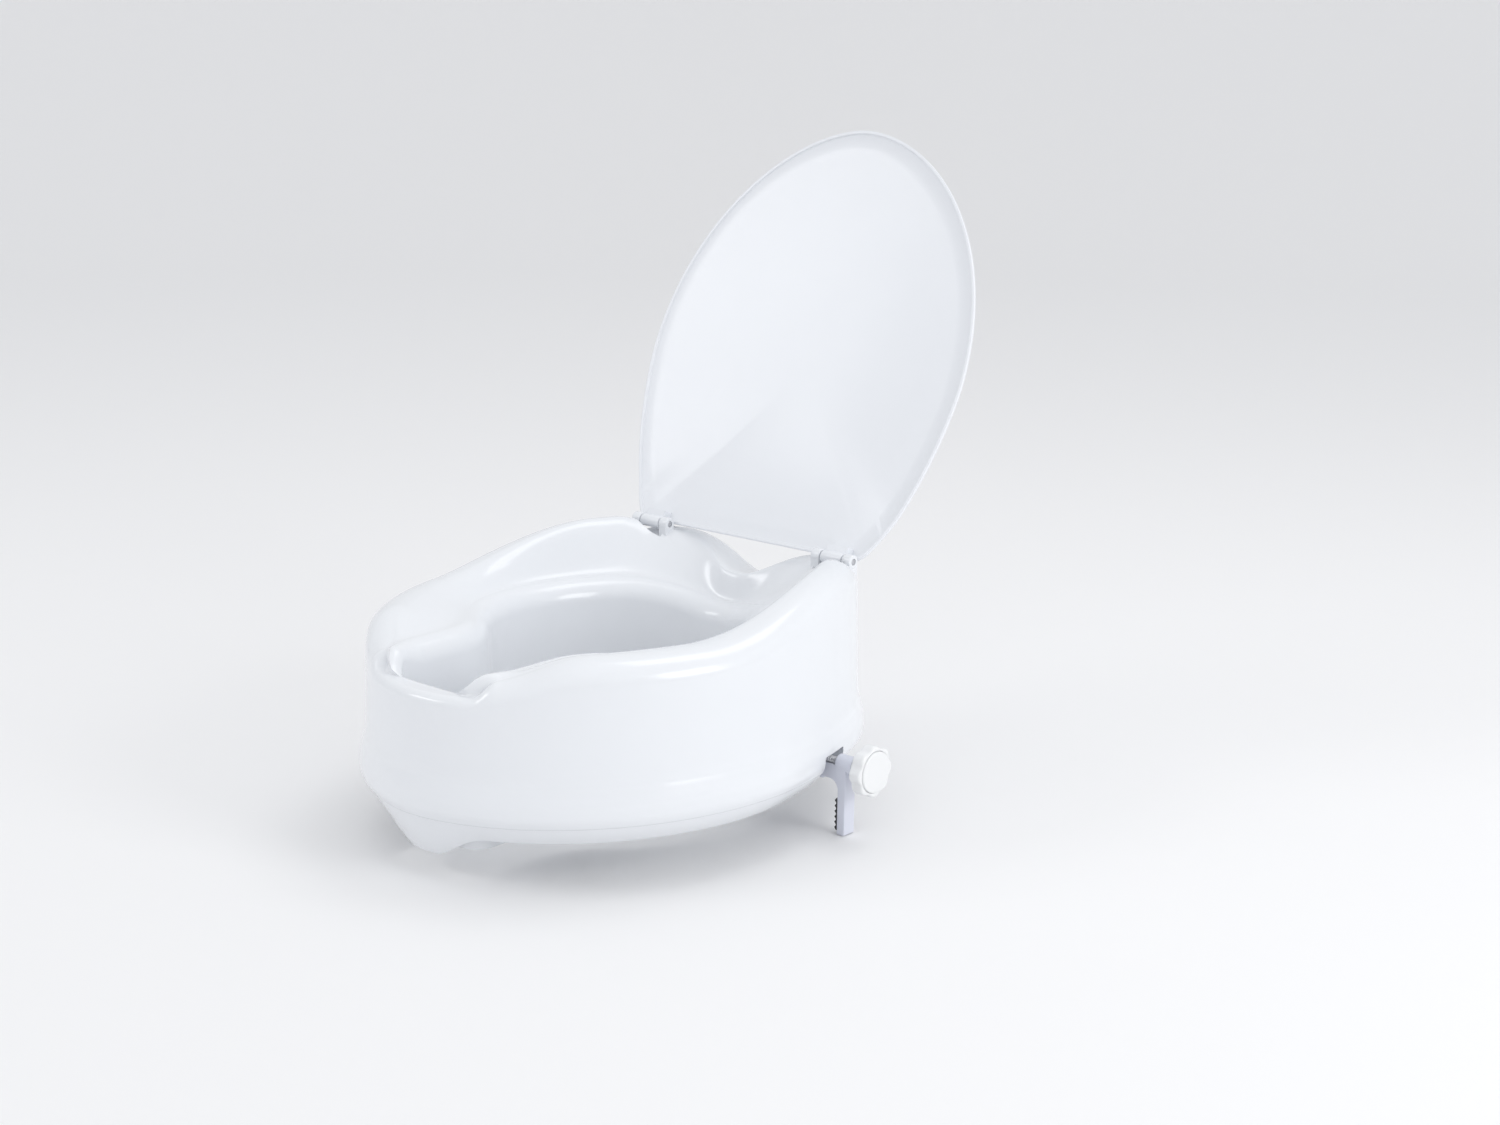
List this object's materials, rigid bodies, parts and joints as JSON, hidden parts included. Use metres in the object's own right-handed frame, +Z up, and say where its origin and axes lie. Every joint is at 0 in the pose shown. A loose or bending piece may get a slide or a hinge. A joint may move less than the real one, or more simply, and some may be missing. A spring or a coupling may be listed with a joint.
{
  "type": "raised toilet seat",
  "caption": "Hollow moulded raised toilet seat with a contoured top, recessed front and rear, a hinged lid that folds back, and hooked screw clamps with lobed knobs that grip the bowl's rim.",
  "frame": {"origin": "middle of the seat on the plane of the toilet rim's top, which the four pads rest on", "axes": "-Y is the front, with the recess, +Y the hinge side and +Z up, so +X is on the right of a person who faces the seat from the front"},
  "size_m": [0.4376, 0.5591, 0.5455],
  "materials": {
    "shell_plastic": "glossy white moulded shell, slightly cool",
    "lid_plastic": "satin gloss white",
    "knob_plastic": "satin white",
    "bracket_plastic": "pale lavender-grey, satin",
    "steel": "zinc-plated, satin",
    "grip_rubber": "dark, matt",
    "pad_rubber": "grey, matt"
  },
  "bodies": {
    "seat": {"seat_body": "shell_plastic", "rim_pad_front_left": "pad_rubber", "rim_pad_front_right": "pad_rubber", "rim_pad_rear_left": "pad_rubber", "rim_pad_rear_right": "pad_rubber", "hinge_pin_left": "steel", "hinge_pin_right": "steel", "captive_nut_left": "steel", "clamp_housing_left": "bracket_plastic", "housing_screw_left_front": "steel", "housing_screw_left_rear": "steel", "captive_nut_right": "steel", "clamp_housing_right": "bracket_plastic", "housing_screw_right_front": "steel", "housing_screw_right_rear": "steel"},
    "lid": {"lid": "lid_plastic"},
    "clamp_left": {"clamp_bracket_left": "bracket_plastic", "grip_strip_left": "grip_rubber", "clamp_washer_left": "steel"},
    "knob_left": {"clamp_knob_left": "knob_plastic", "knob_cap_left": "knob_plastic", "clamp_stud_left": "steel", "retaining_ring_left": "steel"},
    "clamp_right": {"clamp_bracket_right": "bracket_plastic", "grip_strip_right": "grip_rubber", "clamp_washer_right": "steel"},
    "knob_right": {"clamp_knob_right": "knob_plastic", "knob_cap_right": "knob_plastic", "clamp_stud_right": "steel", "retaining_ring_right": "steel"}
  },
  "joints": [
    {"name": "lid_hinge", "type": "hinge", "parent": "seat", "child": "lid", "pos_m": [0, 0.168, 0.164], "axis": [1, 0, 0], "range_deg": [0, 120]},
    {"name": "clamp_slide_left", "type": "slide", "parent": "seat", "child": "clamp_left", "axis": [-1, 0, 0], "range_m": [-0.004, 0.016]},
    {"name": "knob_turn_left", "type": "hinge", "parent": "clamp_left", "child": "knob_left", "pos_m": [-0.19, 0.087, 0.02], "axis": [-1, 0, 0], "range_deg": [-720, 2880]},
    {"name": "clamp_slide_right", "type": "slide", "parent": "seat", "child": "clamp_right", "axis": [1, 0, 0], "range_m": [-0.004, 0.016]},
    {"name": "knob_turn_right", "type": "hinge", "parent": "clamp_right", "child": "knob_right", "pos_m": [0.19, 0.087, 0.02], "axis": [1, 0, 0], "range_deg": [-720, 2880]}
  ],
  "couplings": [
    {"joint": "knob_turn_left", "follows": "clamp_slide_left", "rad_per_m": 3141.5},
    {"joint": "knob_turn_right", "follows": "clamp_slide_right", "rad_per_m": 3141.5}
  ]
}
